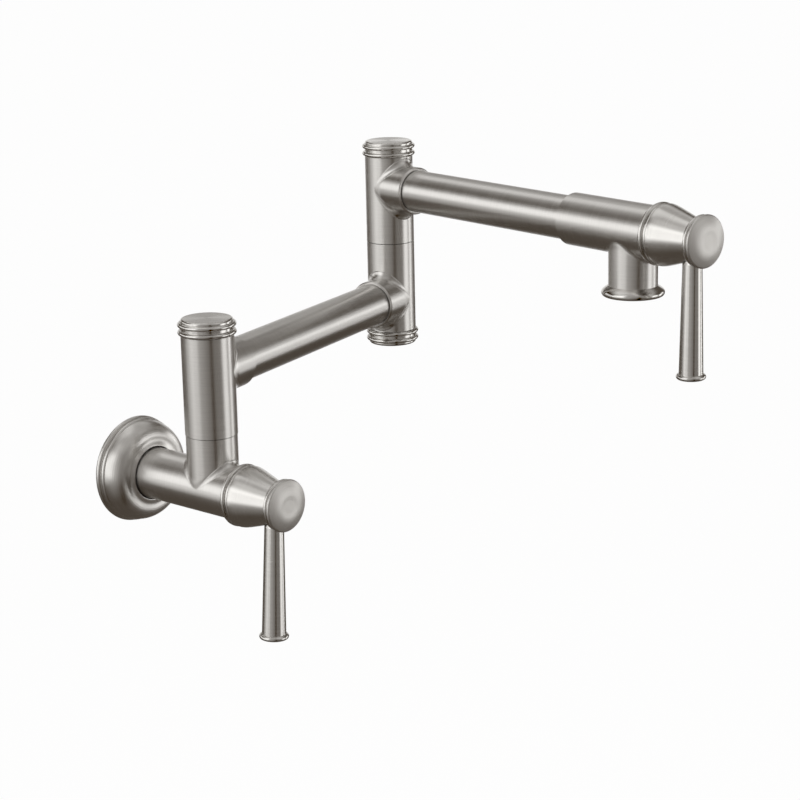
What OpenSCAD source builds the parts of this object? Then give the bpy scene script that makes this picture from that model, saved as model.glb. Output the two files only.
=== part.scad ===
// Wall mounted pot filler with two swivel joints and two quarter turn valves.
// The origin is the centre of the wall inlet, on the wall face. +Z is up and the object stands out along -Y.

/* [Wall inlet] */
// From the wall to the centre line of the first post
inlet_reach = 71.5; // [66:0.5:90]
// Outside diameter of the tube that comes out of the wall
inlet_d = 32; // [31:0.25:33]
// Diameter of the threaded socket for the wall pipe
inlet_socket_d = 18.6; // [17:0.1:19.5]
// Depth of the threaded socket for the wall pipe
inlet_socket_len = 14; // [10:0.5:18]
// Diameter of the water way up to the first valve and up the riser
water_way_d = 12; // [9:0.5:13]

/* [Wall flange] */
// Outside diameter of the flange over its rear bead
flange_d = 66.4; // [60:0.2:76]
// How far the flange stands out from the wall
flange_h = 19.75; // [17:0.25:24]
// Gap round the inlet tube in the flange's mouth
flange_gap = 0.9; // [0.3:0.05:1.2]
// Thickness of the gasket behind the flange
gasket_t = 1; // [0.5:0.1:1.5]

/* [Posts] */
// Outside diameter of the three posts
post_d = 32; // [31:0.25:34]
// Outside diameter of the riser under the first post
riser_d = 31.4; // [30:0.1:32]
// Height of the first swivel's joint line above the inlet's centre line
joint_1_z = 34; // [31:0.5:44]
// From the first joint line up to arm 1's centre line
post_1_below = 38.5; // [36.5:0.5:46]
// From arm 1's centre line up to the top of the first post
post_1_above = 23; // [20.5:0.25:27]
// From arm 1's centre line up to the elbow's joint line
elbow_lower_above = 39; // [36:0.5:44]
// From the elbow's joint line up to arm 2's centre line
elbow_upper_below = 37; // [36.5:0.5:44]
// From an arm's centre line to the end of the elbow post beyond it
elbow_end = 21.25; // [20.5:0.25:26]
// Gap that shows at each swivel's joint line
joint_gap = 0.4; // [0.2:0.05:0.6]

/* [Arms] */
// From the first post's centre line to the elbow's
arm_1_len = 225.5; // [180:0.5:320]
// From the elbow's centre line to the outlet's
arm_2_len = 225.5; // [190:0.5:320]
// Outside diameter of both arm tubes
arm_d = 27.5; // [26.5:0.1:28]
// Wall of both arm tubes
arm_wall = 1.5; // [1:0.1:2.5]
// Outside diameter of the collars that hold the arm tubes
collar_d = 31.4; // [30.4:0.1:31.6]
// From a post's centre line to the end of its collar
collar_len = 28.5; // [25:0.25:33]
// How far a tube goes into its collar or into the spout
tube_seat = 10; // [6:0.5:11]
// Direction of arm 1, turned from the wall line towards the wall
arm_1_angle = 12; // [-90:1:13]
// How far arm 2 is turned in from arm 1's direction
elbow_turn = 110.5; // [0:0.5:180]

/* [Spout] */
// Outside diameter of the spout's body
spout_d = 32.5; // [31.5:0.25:34]
// From the outlet's centre line back to the spout body's rear end
spout_back = 51; // [44:0.5:60]
// Outside diameter of the outlet pipe
outlet_d = 30; // [28.5:0.25:31]
// From arm 2's centre line down to the outlet's rim
outlet_drop = 34; // [31:0.5:44]
// Height of the flared rim that holds the aerator
rim_h = 6.3; // [5.6:0.1:8]
// Largest diameter of the flared rim
rim_d = 38.6; // [36:0.2:40]
// Diameter of the aerator's bore in the rim
aerator_d = 20; // [18:0.5:21]

/* [Valves] */
// From the riser's centre line to the front face of the inlet valve's body
valve_1_face = 23.2; // [22:0.2:28]
// From the outlet's centre line to the front face of the spout valve's body
valve_2_face = 20.2; // [19:0.2:26]
// How far the fixed ring stands out past the handle's rim
ring_proud = 0.3; // [0.1:0.05:0.6]
// Width of the fixed ring behind the handle
ring_w = 3.6; // [3:0.1:4.4]
// Diameter of the valve cartridge's barrel
cartridge_d = 17.6; // [16.4:0.1:18]
// Diameter of the valve spindle
spindle_d = 8; // [7:0.1:8.6]
// Outside diameter of each ceramic disc
disc_d = 13.6; // [12:0.1:14]

/* [Handles] */
// Largest diameter of the handle's hub, at its rear rim
hub_rim_d = 37.6; // [36:0.2:40]
// Smallest diameter of the hub's waist, behind the front bead
hub_waist_d = 23.2; // [22.6:0.2:27]
// Length of the hub from its rear rim to its front bead's face
hub_len = 31.2; // [30:0.2:38]
// Largest diameter of the hub's front bead
hub_bead_d = 31.2; // [29:0.2:33]
// Largest diameter of the round face in front of the bead
face_d = 32; // [29:0.2:34]
// How far the domed face stands out from its own edge
face_h = 2.1; // [1.6:0.1:5]
// From the valve's centre line to the lever's foot
lever_len = 84.2; // [65:0.1:110]
// Diameter of the lever at its top
lever_top_d = 11.8; // [11:0.1:12.4]
// Diameter of the lever just above its foot bead
lever_low_d = 14.8; // [13:0.1:17]
// Diameter of the lever's foot bead
lever_foot_d = 18; // [16:0.2:21]
// How far the first lever hangs past straight down when it is shut, in degrees
lever_1_lean = 3; // [-6:0.5:6]

/* [Hidden] */

// Smoothness of round shapes
$fn = 96;

// Fits and cuts shared by every piece
// Radial clearance where one piece turns in another
run_clear = 0.05;
// Gap between faces that turn past each other
face_gap = 0.3;
// Clearance between fixed pieces that don't need to touch
loose_gap = 0.2;
// How far a cut runs past the face that it opens
cut = 1;

// Colours of the finishes, as the photo shows them
satin = [0.60, 0.58, 0.55];
polished = [0.72, 0.70, 0.67];
raw_brass = [0.74, 0.60, 0.35];
rubber = [0.10, 0.10, 0.11];
ceramic = [0.93, 0.92, 0.90];
plastic = [0.85, 0.86, 0.86];
bright_steel = [0.70, 0.70, 0.71];

// Heights and radii that follow from the sizes above
arm_1_z = joint_1_z + post_1_below;
joint_2_z = arm_1_z + elbow_lower_above;
arm_2_z = joint_2_z + elbow_upper_below;
inlet_r = inlet_d / 2;
post_r = post_d / 2;
arm_r = arm_d / 2;
collar_r = collar_d / 2;

// Sizes of the wall flange's section
flange_r = flange_d / 2;
flange_bead_r = 1.8;
flange_front_bead_inset = 0.9;
flange_front_bead_z = 6.4;
flange_front_bead_r = 1.6;
flange_side_inset = 1.8;
flange_shoulder_z = 7.5;
flange_crest_r = 23;
flange_crest_drop = 0.75;
flange_dish_h = 0.35;
flange_round_steps = 12;
flange_lip = 0.4;
flange_hollow_z = 9;
flange_hollow_wall = 2.8;
flange_hub_wall = 2;
flange_bore_r = inlet_r + flange_gap;
grip_section = 2.4;
grip_z = 11.5;
gasket_w = 4;

// Sizes inside the swivels
swivel_r = 9;
swivel_way_r = 5.5;
swivel_socket_len = 12;
swivel_neck_r = 7;
seal_section = 1.8;
seal_low_share = 0.3;
seal_high_share = 0.72;
washer_t = 1.2;
nut_r = 10.4;
nut_h = 4.5;
nut_flat_w = 15.5;
chamber_r = 11;
chamber_half_h = 11.5;
cap_thread_r = 12.5;
cap_thread_h = 6.5;

// Sizes of the post caps
cap_seat_h = 0.4;
cap_seat_inset = 0.9;
cap_bead_r = 1.4;
cap_bead_proud = 1.7;
cap_low_bead_z = 1.8;
cap_high_bead_z = 6.5;
cap_core_inset = 0.1;
cap_top_z = 10;
cap_edge_r = 1.3;
cap_hollow_r = 9.5;
cap_hollow_top = 3;

// Sizes of the collars' ends and the tubes in them
collar_edge = 0.9;
mouth_gap = 0.5;
mouth_depth = 1.4;
tube_way_r = 9;

// Sizes of the spout's outlet and its aerator
spout_edge = 1.1;
spout_throat_x = -15;
outlet_way_r = 8;
rim_thread_r = 11.6;
rim_thread_len = 8;
rim_bottom_inset = 1.5;
rim_bulge_share = 0.66;
rim_steps = 8;
aerator_ledge = 1.2;
aerator_wall = 1.4;
aerator_inset = 1;
screen_t = 1;
screen_hole_r = 0.7;
screen_ring_share = 0.62;
screen_holes = 12;
aerator_washer_t = 1.6;

// Places along a valve, measured forward from the front face of its body
seat_x = -28.2;
seat_seal_t = 1.4;
guide_x = -8.2;
flange_seat_x = -4.5;
cartridge_flange_t = 2.5;
ring_d = hub_rim_d + ring_proud * 2;
hub_back_x = ring_w + face_gap;

// Sizes inside a valve
seat_seal_wall = 1.9;
cartridge_r = cartridge_d / 2;
cartridge_flange_r = 11;
cartridge_wall = 1.6;
window_w = 8;
window_h = 2.2;
neck_r = 6;
neck_front_x = 12;
disc_t = 2.4;
disc_gap = 0.05;
disc_port_r = 2.2;
disc_port_offset = 3.4;
carrier_t = 4;
carrier_clear = 0.3;
spindle_r = spindle_d / 2;
disc_x = seat_x + seat_seal_t + cartridge_wall;
carrier_x = disc_x + disc_t * 2 + disc_gap;
spindle_seal_section = 1.4;
spindle_seal_x = 3;
nut_thread_r = 11.3;
nut_flange_r = 13.6;
nut_flange_t = 2;
nut_hex_w = 20;
nut_hex_h = 4.5;
nut_bore_clear = 0.25;
ring_bead_r = 1.6;

// Sizes of a handle, with places measured forward from the hub's rear rim
hub_nut_clear = 0.5;
hub_cavity_r = nut_flange_r + hub_nut_clear;
hub_cavity_len = nut_flange_t + hub_nut_clear - face_gap;
hub_hex_r = nut_hex_w / 2 / cos(30) + hub_nut_clear;
hub_hex_len = hub_cavity_len + nut_hex_h;
hub_core_r = 10.4;
hub_core_room = 4.5;
hub_core_len = neck_front_x - hub_back_x + hub_core_room;
hub_rim_w = 2.8;
hub_side_steps = 14;
hub_shoulder_drop = 0.2;
hub_shoulder_share = 0.125;
hub_cove_share = 0.415;
hub_cove_r_share = 0.58;
hub_bead_r = 1.4;
hub_bead_back = 2.6;
hub_recess_len = 4.2;
hub_recess_r = 10;
spindle_short = 3.4;
screw_head_r = 3.4;
screw_head_h = 2.4;
screw_r = 2;
screw_len = 10;
screw_slot_w = 2.5;
screw_slot_h = 1.4;
face_groove = 0.4;
face_groove_inset = 1.6;
face_bead_r = 1.25;
face_edge_inset = 0.4;
face_edge_h = 0.5;
face_turn_r = 0.8;
face_flat_r = 6.6;
face_dish_h = 0.14;
face_dish_edge = 2.6;
face_dome_steps = 10;
face_plug_len = 3.4;
face_hollow_r = 5.5;

spindle_top = hub_len - hub_recess_len - spindle_short;
face_back = hub_len + face_groove;

// Sizes of a lever, measured down from the valve's centre line
lever_back = 7.8;
lever_x = hub_len - lever_back;
lever_neck_d = 9.2;
lever_seat_z = 11.4;
lever_neck_h = 3;
lever_stud_r = 3;
lever_stud_top = 7.4;
lever_bead_r = 1.6;
lever_bead_up = 1.7;
lever_foot_flat_r = 7.2;

// Places of the assembly

module at_post_1() {
    translate([0, -inlet_reach, 0])
        children();
}

// +X runs along arm 1, from the first post's centre line
module along_arm_1() {
    at_post_1()
        rotate([0, 0, arm_1_angle])
            children();
}

module at_elbow() {
    along_arm_1()
        translate([arm_1_len, 0, 0])
            children();
}

// +X runs along arm 2, from the elbow's centre line
module along_arm_2() {
    at_elbow()
        rotate([0, 0, -elbow_turn])
            children();
}

// The outlet's centre line at arm 2's height, with +X forward
module at_outlet() {
    along_arm_2()
        translate([arm_2_len, 0, arm_2_z])
            children();
}

// Both valves are drawn alike, with +X forward from the front face of the valve's body
module at_valve_1() {
    at_post_1()
        rotate([0, 0, -90])
            translate([valve_1_face, 0, 0])
                children();
}

module at_valve_2() {
    at_outlet()
        translate([valve_2_face, 0, 0])
            children();
}

// A shape turned round Z is laid along +X or out of the wall

module along_x() {
    rotate([0, 90, 0])
        children();
}

module out_of_wall() {
    rotate([90, 0, 0])
        children();
}

// Shapes that several pieces share

// A cylinder between two heights
module rod(r, from, to) {
    translate([0, 0, from])
        cylinder(r = r, h = to - from);
}

// A tube between two heights
module pipe(r_out, r_in, from, to) {
    difference() {
        rod(r_out, from, to);
        rod(r_in, from - cut, to + cut);
    }
}

// A ring of round section whose outside has the given radius
module o_ring(r_out, section, z) {
    translate([0, 0, z])
        rotate_extrude()
            translate([r_out - section / 2, 0])
                circle(d = section, $fn = 32);
}

// The square groove that holds such a ring
module o_groove(r_out, section, z) {
    difference() {
        rod(r_out + cut, z - section / 2, z + section / 2);
        rod(r_out - section, z - section, z + section);
    }
}

// A round bead for a turned section, with its outermost point at r
module bead(r, bead_r, z) {
    translate([r - bead_r, z])
        circle(r = bead_r, $fn = 48);
}

// A rectangle in a turned section
module band(r_in, r_out, from, to) {
    translate([r_in, from])
        square([r_out - r_in, to - from]);
}

// Wall flange

module flange_gasket() {
    color(rubber)
        out_of_wall()
            pipe(flange_r - flange_bead_r, flange_r - flange_bead_r - gasket_w, 0, gasket_t);
}

// The front turns over from the side to a crest and then dips before it rises to the lip of the mouth
flange_side_r = flange_r - flange_side_inset;
flange_crest_z = flange_h - flange_crest_drop;

function flange_round(i) =
    let (t = i / flange_round_steps)
    [flange_crest_r + (flange_side_r - flange_crest_r) * cos(90 * t),
     flange_shoulder_z + (flange_crest_z - flange_shoulder_z) * sin(90 * t)];

function flange_dish(i) =
    let (t = i / flange_round_steps, mouth_r = flange_bore_r + flange_lip)
    [flange_crest_r + (mouth_r - flange_crest_r) * t,
     flange_crest_z + flange_crest_drop * t * t - flange_dish_h * (1 - cos(360 * t)) / 2];

module flange_section() {
    difference() {
        union() {
            polygon(concat(
                [[flange_bore_r, gasket_t], [flange_side_r, gasket_t]],
                [for (i = [0 : flange_round_steps]) flange_round(i)],
                [for (i = [1 : flange_round_steps]) flange_dish(i)],
                [[flange_bore_r, flange_h]]
            ));
            bead(flange_r, flange_bead_r, gasket_t + flange_bead_r);
            bead(flange_r - flange_front_bead_inset, flange_front_bead_r, flange_front_bead_z);
        }
        band(flange_bore_r + flange_hub_wall, flange_side_r - flange_hollow_wall, 0, flange_hollow_z);
        band(0, inlet_r + grip_section, grip_z - grip_section / 2, grip_z + grip_section / 2);
    }
}

module wall_flange() {
    color(satin)
        out_of_wall()
            rotate_extrude()
                flange_section();
}

module flange_grip_ring() {
    color(rubber)
        out_of_wall()
            o_ring(inlet_r + grip_section, grip_section, grip_z);
}

// Water passages that both valve bodies share, along +Z of a turned piece

module valve_bores() {
    rod(water_way_d / 2, seat_x - cut, seat_x + cut);
    rod(chamber_r, seat_x, guide_x);
    rod(cartridge_r, guide_x - cut, flange_seat_x + cut);
    rod(nut_thread_r, flange_seat_x, cut);
}

module inlet_body() {
    color(satin)
        difference() {
            union() {
                out_of_wall()
                    rod(inlet_r, 0, inlet_reach + valve_1_face);
                at_post_1()
                    rod(riser_d / 2, 0, joint_1_z);
            }
            out_of_wall() {
                rod(inlet_socket_d / 2, -cut, inlet_socket_len);
                rod(water_way_d / 2, 0, inlet_reach);
            }
            at_valve_1()
                along_x()
                    valve_bores();
            at_post_1() {
                rod(water_way_d / 2, 0, joint_1_z);
                rod(swivel_r, joint_1_z - swivel_socket_len, joint_1_z + cut);
            }
        }
}

// Swivel parts, measured up from the joint line

module swivel_spindle(below) {
    bearing_top = below - chamber_half_h + washer_t + face_gap;
    difference() {
        union() {
            rod(swivel_r, -swivel_socket_len, bearing_top);
            rod(swivel_neck_r, bearing_top - cut, bearing_top + nut_h + washer_t);
        }
        rod(swivel_way_r, -swivel_socket_len - cut, bearing_top + nut_h + washer_t + cut);
        o_groove(swivel_r, seal_section, (below - chamber_half_h) * seal_low_share);
        o_groove(swivel_r, seal_section, (below - chamber_half_h) * seal_high_share);
    }
}

module swivel_seals(below) {
    o_ring(swivel_r, seal_section, (below - chamber_half_h) * seal_low_share);
    o_ring(swivel_r, seal_section, (below - chamber_half_h) * seal_high_share);
}

module swivel_washer(below) {
    shoulder = below - chamber_half_h;
    pipe(chamber_r - face_gap, swivel_r + face_gap, shoulder, shoulder + washer_t);
}

module swivel_nut(below) {
    base = below - chamber_half_h + washer_t + face_gap;
    difference() {
        intersection() {
            rod(nut_r, base, base + nut_h);
            translate([0, 0, base + nut_h / 2])
                cube([nut_r * 2, nut_flat_w, nut_h], center = true);
        }
        rod(swivel_neck_r, base - cut, base + nut_h + cut);
    }
}

// A collar along +X that takes an arm tube, and the passages inside it

module collar_outside() {
    along_x() {
        rod(collar_r, 0, collar_len - collar_edge);
        translate([0, 0, collar_len - collar_edge])
            cylinder(r1 = collar_r, r2 = collar_r - collar_edge, h = collar_edge);
    }
}

module collar_inside() {
    along_x() {
        rod(tube_way_r, 0, collar_len);
        rod(arm_r, collar_len - tube_seat, collar_len + cut);
        rod(arm_r + mouth_gap, collar_len - mouth_depth, collar_len + cut);
    }
}

// A post that turns on a spindle from below and carries an arm towards +X
module swivel_post(below, above) {
    difference() {
        union() {
            rod(post_r, joint_gap, below + above);
            translate([0, 0, below])
                collar_outside();
        }
        rod(swivel_r + run_clear, -cut, below);
        rod(chamber_r, below - chamber_half_h, below + above);
        rod(cap_thread_r, below + above - cap_thread_h - cap_seat_h, below + above + cut);
        translate([0, 0, below])
            collar_inside();
    }
}

// A cap that screws into the end of a post, measured up from the post's end face
module post_cap() {
    difference() {
        rotate_extrude()
            union() {
                band(0, cap_thread_r, -cap_thread_h, cut);
                band(0, post_r - cap_seat_inset, 0, cap_seat_h + cut);
                band(0, post_r - cap_core_inset, cap_low_bead_z, cap_top_z - cap_edge_r);
                band(0, post_r - cap_core_inset - cap_edge_r, cap_top_z - cap_edge_r, cap_top_z);
                bead(post_r + cap_bead_proud, cap_bead_r, cap_low_bead_z);
                bead(post_r + cap_bead_proud, cap_bead_r, cap_high_bead_z);
                band(0, post_r + cap_bead_proud - cap_bead_r,
                     cap_low_bead_z, cap_low_bead_z + cap_bead_r / 2);
                bead(post_r - cap_core_inset, cap_edge_r, cap_top_z - cap_edge_r);
            }
        rod(cap_hollow_r, -cap_thread_h - cut, cap_hollow_top);
        o_groove(cap_thread_r, seal_section, -cap_thread_h / 2);
    }
}

module post_cap_seal() {
    o_ring(cap_thread_r, seal_section, -cap_thread_h / 2);
}

// First swivel

module on_joint_1() {
    along_arm_1()
        translate([0, 0, joint_1_z])
            children();
}

module post_1_spindle() {
    color(raw_brass)
        on_joint_1()
            swivel_spindle(post_1_below);
}

module post_1_o_rings() {
    color(rubber)
        on_joint_1()
            swivel_seals(post_1_below);
}

module post_1_thrust_washer() {
    color(plastic)
        on_joint_1()
            swivel_washer(post_1_below);
}

module post_1_retaining_nut() {
    color(raw_brass)
        on_joint_1()
            swivel_nut(post_1_below);
}

module post_1_body() {
    color(satin)
        on_joint_1()
            swivel_post(post_1_below, post_1_above);
}

module on_post_1_top() {
    on_joint_1()
        translate([0, 0, post_1_below + post_1_above])
            children();
}

module post_1_cap() {
    color(polished)
        on_post_1_top()
            post_cap();
}

module post_1_cap_seal() {
    color(rubber)
        on_post_1_top()
            post_cap_seal();
}

// Arm tubes

module arm_tube(from, to) {
    along_x()
        pipe(arm_r, arm_r - arm_wall, from, to);
}

module arm_1_tube() {
    color(satin)
        along_arm_1()
            translate([0, 0, arm_1_z])
                arm_tube(collar_len - tube_seat, arm_1_len - collar_len + tube_seat);
}

module arm_2_tube() {
    color(satin)
        along_arm_2()
            translate([0, 0, arm_2_z])
                arm_tube(collar_len - tube_seat, arm_2_len - spout_back + tube_seat);
}

// Elbow

// The elbow's lower post, with its collar facing back along arm 1
module elbow_lower_post() {
    color(satin)
        at_elbow()
            difference() {
                union() {
                    rod(post_r, arm_1_z - elbow_end, joint_2_z);
                    translate([0, 0, arm_1_z])
                        rotate([0, 0, 180])
                            collar_outside();
                }
                rod(cap_thread_r, arm_1_z - elbow_end - cut, arm_1_z - elbow_end + cap_thread_h + cap_seat_h);
                rod(chamber_r, arm_1_z - elbow_end, arm_1_z + chamber_half_h);
                rod(water_way_d / 2, arm_1_z, joint_2_z);
                rod(swivel_r, joint_2_z - swivel_socket_len, joint_2_z + cut);
                translate([0, 0, arm_1_z])
                    rotate([0, 0, 180])
                        collar_inside();
            }
}

module on_elbow_bottom() {
    at_elbow()
        translate([0, 0, arm_1_z - elbow_end])
            rotate([180, 0, 0])
                children();
}

module elbow_bottom_cap() {
    color(polished)
        on_elbow_bottom()
            post_cap();
}

module elbow_bottom_cap_seal() {
    color(rubber)
        on_elbow_bottom()
            post_cap_seal();
}

module on_joint_2() {
    along_arm_2()
        translate([0, 0, joint_2_z])
            children();
}

module elbow_spindle() {
    color(raw_brass)
        on_joint_2()
            swivel_spindle(elbow_upper_below);
}

module elbow_o_rings() {
    color(rubber)
        on_joint_2()
            swivel_seals(elbow_upper_below);
}

module elbow_thrust_washer() {
    color(plastic)
        on_joint_2()
            swivel_washer(elbow_upper_below);
}

module elbow_retaining_nut() {
    color(raw_brass)
        on_joint_2()
            swivel_nut(elbow_upper_below);
}

module elbow_upper_post() {
    color(satin)
        on_joint_2()
            swivel_post(elbow_upper_below, elbow_end);
}

module on_elbow_top() {
    on_joint_2()
        translate([0, 0, elbow_upper_below + elbow_end])
            children();
}

module elbow_top_cap() {
    color(polished)
        on_elbow_top()
            post_cap();
}

module elbow_top_cap_seal() {
    color(rubber)
        on_elbow_top()
            post_cap_seal();
}

// Spout

module spout_body() {
    spout_r = spout_d / 2;
    color(satin)
        at_outlet()
            difference() {
                union() {
                    along_x() {
                        rod(spout_r, spout_edge - spout_back, valve_2_face);
                        translate([0, 0, -spout_back])
                            cylinder(r1 = spout_r - spout_edge, r2 = spout_r, h = spout_edge);
                    }
                    rod(outlet_d / 2, -outlet_drop, 0);
                }
                along_x() {
                    rod(tube_way_r, -spout_back, spout_throat_x);
                    rod(arm_r, -spout_back - cut, tube_seat - spout_back);
                    rod(arm_r + mouth_gap, -spout_back - cut, mouth_depth - spout_back);
                    rod(water_way_d / 2, -spout_back, valve_2_face + seat_x + cut);
                    translate([0, 0, valve_2_face])
                        valve_bores();
                }
                rod(outlet_way_r, -outlet_drop, 0);
                rod(rim_thread_r, -outlet_drop - cut, rim_thread_len - outlet_drop);
            }
}

// Outline of the rim: it flares from the outlet pipe, rounds over and turns in to its lower face
function rim_flare(i) =
    let (t = i / rim_steps)
    [outlet_d / 2 + (rim_d - outlet_d) / 2 * sin(90 * t), -rim_h * rim_bulge_share * t];

function rim_turn(i) =
    let (t = i / rim_steps)
    [rim_d / 2 - rim_bottom_inset * (1 - cos(90 * t)),
     -rim_h * (rim_bulge_share + (1 - rim_bulge_share) * sin(90 * t))];

module outlet_rim() {
    color(polished)
        at_outlet()
            translate([0, 0, -outlet_drop])
                difference() {
                    union() {
                        rotate_extrude()
                            polygon(concat(
                                [[0, -rim_h]],
                                [for (i = [rim_steps : -1 : 1]) rim_turn(i)],
                                [for (i = [rim_steps : -1 : 0]) rim_flare(i)],
                                [[0, 0]]
                            ));
                        rod(rim_thread_r, -cut, rim_thread_len - aerator_washer_t);
                    }
                    rod(aerator_d / 2, -rim_h - cut, rim_thread_len - aerator_washer_t - aerator_ledge);
                    rod(aerator_d / 2 - aerator_ledge, -rim_h, rim_thread_len + cut);
                }
}

module aerator_washer() {
    color(rubber)
        at_outlet()
            translate([0, 0, -outlet_drop])
                pipe(rim_thread_r - loose_gap, outlet_way_r,
                     rim_thread_len - aerator_washer_t, rim_thread_len);
}

module aerator_housing() {
    color(plastic)
        at_outlet()
            translate([0, 0, -outlet_drop])
                pipe(aerator_d / 2, aerator_d / 2 - aerator_wall, aerator_inset - rim_h,
                     rim_thread_len - aerator_washer_t - aerator_ledge);
}

module aerator_screen() {
    screen_r = aerator_d / 2 - aerator_wall;
    color(bright_steel)
        at_outlet()
            translate([0, 0, aerator_inset - rim_h - outlet_drop])
                difference() {
                    rod(screen_r, 0, screen_t);
                    for (ring = [1, screen_ring_share])
                        for (i = [0 : screen_holes * ring - 1])
                            rotate([0, 0, 360 * i / (screen_holes * ring)])
                                translate([screen_r * ring * (1 - screen_ring_share / 2), 0, 0])
                                    rod(screen_hole_r, -cut, screen_t + cut);
                }
}

// Valve parts, turned along +Z of their own frame and laid forward

module valve_seat_seal() {
    pipe(water_way_d / 2 + seat_seal_wall, water_way_d / 2, seat_x, seat_x + seat_seal_t);
}

module valve_cartridge() {
    back = seat_x + seat_seal_t;
    difference() {
        union() {
            rod(cartridge_r, back, flange_seat_x + cut);
            rod(cartridge_flange_r, flange_seat_x, flange_seat_x + cartridge_flange_t);
            rod(neck_r, flange_seat_x, neck_front_x);
        }
        rod(disc_port_offset + disc_port_r, back - cut, disc_x + cut);
        rod(disc_d / 2, disc_x, disc_x + disc_t);
        rod(disc_d / 2 + carrier_clear, disc_x + disc_t, carrier_x + carrier_t + face_gap);
        rod(spindle_r + run_clear, disc_x, neck_front_x + cut);
        side_way(cartridge_d);
    }
}

// The way out sideways in front of the discs
module side_way(width) {
    translate([0, 0, carrier_x + window_h / 2])
        cube([width + cut, window_w, window_h], center = true);
}

// Two ports through a disc, on opposite sides of its centre
module disc(from) {
    difference() {
        rod(disc_d / 2, from, from + disc_t);
        for (side = [-1, 1])
            translate([0, side * disc_port_offset, 0])
                rod(disc_port_r, from - cut, from + disc_t + cut);
    }
}

module valve_fixed_disc() {
    disc(disc_x);
}

// The turning disc stands a quarter turn from the fixed one, so the valve is shut
module valve_turning_disc() {
    rotate([0, 0, 90])
        disc(disc_x + disc_t + disc_gap);
}

module valve_spindle() {
    difference() {
        union() {
            rod(disc_d / 2, carrier_x, carrier_x + carrier_t);
            rod(spindle_r, carrier_x, hub_back_x + spindle_top);
        }
        rotate([0, 0, 90])
            side_way(disc_d);
        o_groove(spindle_r, spindle_seal_section, spindle_seal_x);
        rod(screw_r, hub_back_x + spindle_top - screw_len, hub_back_x + spindle_top + cut);
    }
}

module valve_spindle_seal() {
    o_ring(spindle_r, spindle_seal_section, spindle_seal_x);
}

module valve_ring() {
    rotate_extrude()
        difference() {
            union() {
                band(0, ring_d / 2 - ring_bead_r, 0, ring_w);
                bead(ring_d / 2, ring_bead_r, ring_w / 2);
            }
            band(0, nut_thread_r + loose_gap, -cut, ring_w + cut);
        }
}

module valve_bonnet_nut() {
    back = flange_seat_x + cartridge_flange_t;
    hex_top = ring_w + nut_flange_t + nut_hex_h;
    difference() {
        union() {
            rod(nut_thread_r, back, ring_w);
            rod(nut_flange_r, ring_w, ring_w + nut_flange_t);
            translate([0, 0, ring_w])
                cylinder(d = nut_hex_w / cos(30), h = hex_top - ring_w, $fn = 6);
        }
        rod(neck_r + nut_bore_clear, back - cut, hex_top + cut);
    }
}

// Handle parts, measured along +Z from the hub's rear rim

// The hub's side: a round shoulder that falls in a long hollow curve to the waist
function hub_side(i) =
    let (
        t = i / hub_side_steps,
        u = 1 - t,
        rim_r = hub_rim_d / 2,
        waist_r = hub_waist_d / 2,
        taper_len = hub_len - hub_bead_back - hub_rim_w
    )
    pow(u, 3) * [rim_r, hub_rim_w]
    + 3 * u * u * t * [rim_r - hub_shoulder_drop, hub_rim_w + taper_len * hub_shoulder_share]
    + 3 * u * t * t * [waist_r + (rim_r - waist_r) * hub_cove_r_share, hub_rim_w + taper_len * hub_cove_share]
    + pow(t, 3) * [waist_r, hub_rim_w + taper_len];

module hub_section() {
    rim_r = hub_rim_d / 2;
    difference() {
        union() {
            polygon(concat(
                [[0, 0], [rim_r - hub_rim_w / 2, 0]],
                [for (i = [0 : hub_side_steps]) hub_side(i)],
                [[0, hub_len - hub_bead_back]]
            ));
            bead(rim_r, hub_rim_w / 2, hub_rim_w / 2);
            band(0, hub_bead_d / 2 - hub_bead_r, hub_len - hub_bead_r * 2, hub_len);
            bead(hub_bead_d / 2, hub_bead_r, hub_len - hub_bead_r);
        }
        band(0, hub_cavity_r, -cut, hub_cavity_len);
        band(0, hub_hex_r, -cut, hub_hex_len);
        band(0, hub_core_r, -cut, hub_core_len);
        band(0, spindle_r, 0, spindle_top);
        band(0, screw_r + loose_gap, 0, hub_len);
        band(0, hub_recess_r, hub_len - hub_recess_len, hub_len + cut);
    }
}

// Places a shape that stands up along +Z on the hub's side, turned from the lever's side
module on_hub_side(x, angle) {
    translate([0, 0, x])
        rotate([0, 0, angle])
            rotate([0, 90, 0])
                children();
}

module handle_hub() {
    difference() {
        rotate_extrude()
            hub_section();
        on_hub_side(lever_x, 0) {
            rod(lever_stud_r, lever_stud_top, lever_seat_z);
            rod(lever_top_d / 2, lever_seat_z, hub_rim_d);
        }
    }
}

module handle_screw() {
    seat = hub_len - hub_recess_len;
    difference() {
        union() {
            rod(screw_head_r, seat, seat + screw_head_h);
            rod(screw_r, spindle_top - screw_len, seat + screw_slot_h);
        }
        translate([0, 0, seat + screw_head_h])
            cylinder(d = screw_slot_w / cos(30), h = screw_slot_h * 2, center = true, $fn = 6);
    }
}

// The face turns over at its edge and then rises slowly, as a shallow dome round a dished middle
face_edge_z = face_back + face_bead_r + face_edge_h;
face_top_z = face_back + face_bead_r * 2 + face_h;

function face_turn(i) =
    let (t = i / face_dome_steps)
    [face_d / 2 - face_edge_inset - face_turn_r * (1 - cos(75 * t)),
     face_edge_z + face_turn_r * sin(75 * t)];

function face_dome(i) =
    let (t = i / face_dome_steps, from = face_turn(face_dome_steps))
    [from[0] + (face_flat_r - from[0]) * t,
     from[1] + (face_top_z - from[1]) * sin(90 * t)];

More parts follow.
